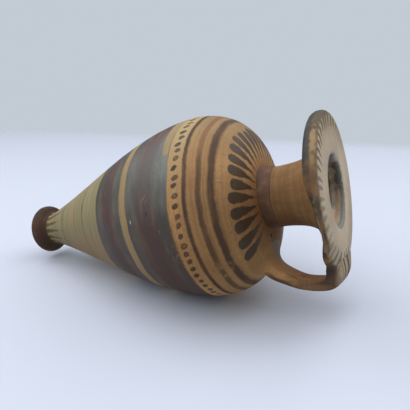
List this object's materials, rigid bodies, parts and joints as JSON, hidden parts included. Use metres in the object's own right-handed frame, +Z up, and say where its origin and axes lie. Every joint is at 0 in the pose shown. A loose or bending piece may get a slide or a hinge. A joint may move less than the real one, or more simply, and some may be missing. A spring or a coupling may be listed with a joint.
{
  "type": "lekythos",
  "caption": "Small pear-shaped oil flask of painted clay with a disc mouth, a narrow neck bore, a strap handle from shoulder to rim and a little flaring foot.",
  "frame": {"origin": "on the vessel's axis, in the plane that the foot stands on", "axes": "+Z up the vessel's axis to the mouth; +Y from the axis towards the handle; +X to the right of someone who faces the side away from the handle"},
  "size_m": [0.06, 0.06, 0.1191],
  "materials": {
    "foot_paint": "dark slip paint, worn",
    "slip_clay": "wiped clay slip",
    "body_clay": "fired clay with painted bands, dots and tongues",
    "neck_clay": "bare fired clay, wiped",
    "collar_paint": "dark red-brown slip paint",
    "mouth_clay": "fired clay with painted rim ticks",
    "handle_clay": "fired clay, streaked"
  },
  "bodies": {
    "root": {"foot": "foot_paint", "foot_slip": "slip_clay", "body": "body_clay", "neck": "neck_clay", "neck_slip": "slip_clay", "neck_collar": "collar_paint", "mouth_disc": "mouth_clay", "mouth_slip": "slip_clay", "handle": "handle_clay", "handle_root_slip": "slip_clay", "handle_rim_slip": "slip_clay"}
  },
  "joints": []
}
